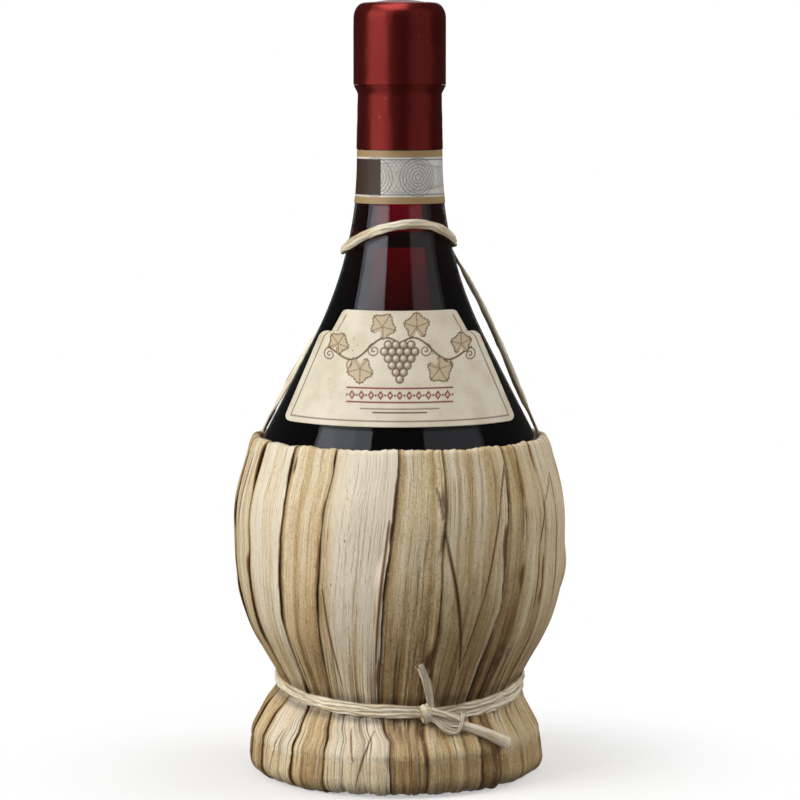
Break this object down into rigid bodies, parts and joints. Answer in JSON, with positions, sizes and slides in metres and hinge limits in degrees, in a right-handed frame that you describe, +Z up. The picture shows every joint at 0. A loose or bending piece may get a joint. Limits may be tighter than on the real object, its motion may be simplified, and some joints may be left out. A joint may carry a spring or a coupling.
{
  "type": "straw-covered wine flask",
  "caption": "Round-bottomed glass wine flask in a tied cover of dried leaf strips on a straw foot ring, with a cork, a foil capsule, a neck band and a die-cut label.",
  "frame": {"origin": "on the floor under the axis of the flask, at the middle of the foot", "axes": "+Z up along the axis of the flask, -Y out of the middle of the label, +X to the right of the label"},
  "size_m": [0.1098, 0.1108, 0.2583],
  "materials": {
    "glass": "clear blown glass with a faint green tint",
    "wine": "dark red wine, ruby where the light comes through the neck",
    "cork": "natural cork with dark pores",
    "capsule_foil": "dark red metallic shrink foil",
    "band_paper": "printed paper strip with tan borders",
    "label_paper": "uncoated cream paper with sepia ornament",
    "leaf": "dried leaf strips with long fibres",
    "straw": "packed straw",
    "raffia": "twisted raffia ribbon"
  },
  "bodies": {
    "flask": {"glass_flask": "glass", "wine_fill": "wine", "capsule_skirt": "capsule_foil", "neck_band": "band_paper", "front_label": "label_paper", "rim_hoop": "raffia", "foot_ring": "straw", "waist_tie": "raffia", "waist_knot": "raffia", "knot_tail_up": "raffia", "knot_tail_down": "raffia", "neck_strap_right": "raffia", "neck_cord_turns": "raffia", "neck_strap_left": "raffia", "leaf_over_01": "leaf", "leaf_over_02": "leaf", "leaf_over_03": "leaf", "leaf_over_04": "leaf", "leaf_over_05": "leaf", "leaf_over_06": "leaf", "leaf_over_07": "leaf", "leaf_over_08": "leaf", "leaf_over_09": "leaf", "leaf_over_10": "leaf", "leaf_under_01": "leaf", "leaf_under_02": "leaf", "leaf_under_03": "leaf", "leaf_under_04": "leaf", "leaf_under_05": "leaf", "leaf_under_06": "leaf", "leaf_under_07": "leaf", "leaf_under_08": "leaf", "leaf_under_09": "leaf", "leaf_under_10": "leaf"},
    "cork": {"cork": "cork"},
    "cap": {"capsule_cap": "capsule_foil", "capsule_top_disc": "capsule_foil"}
  },
  "joints": [
    {"name": "cork_draw", "type": "slide", "parent": "flask", "child": "cork", "axis": [0, 0, 1], "range_m": [0, 0.06]},
    {"name": "cap_lift", "type": "slide", "parent": "cork", "child": "cap", "axis": [0, 0, 1], "range_m": [0, 0.045]}
  ]
}
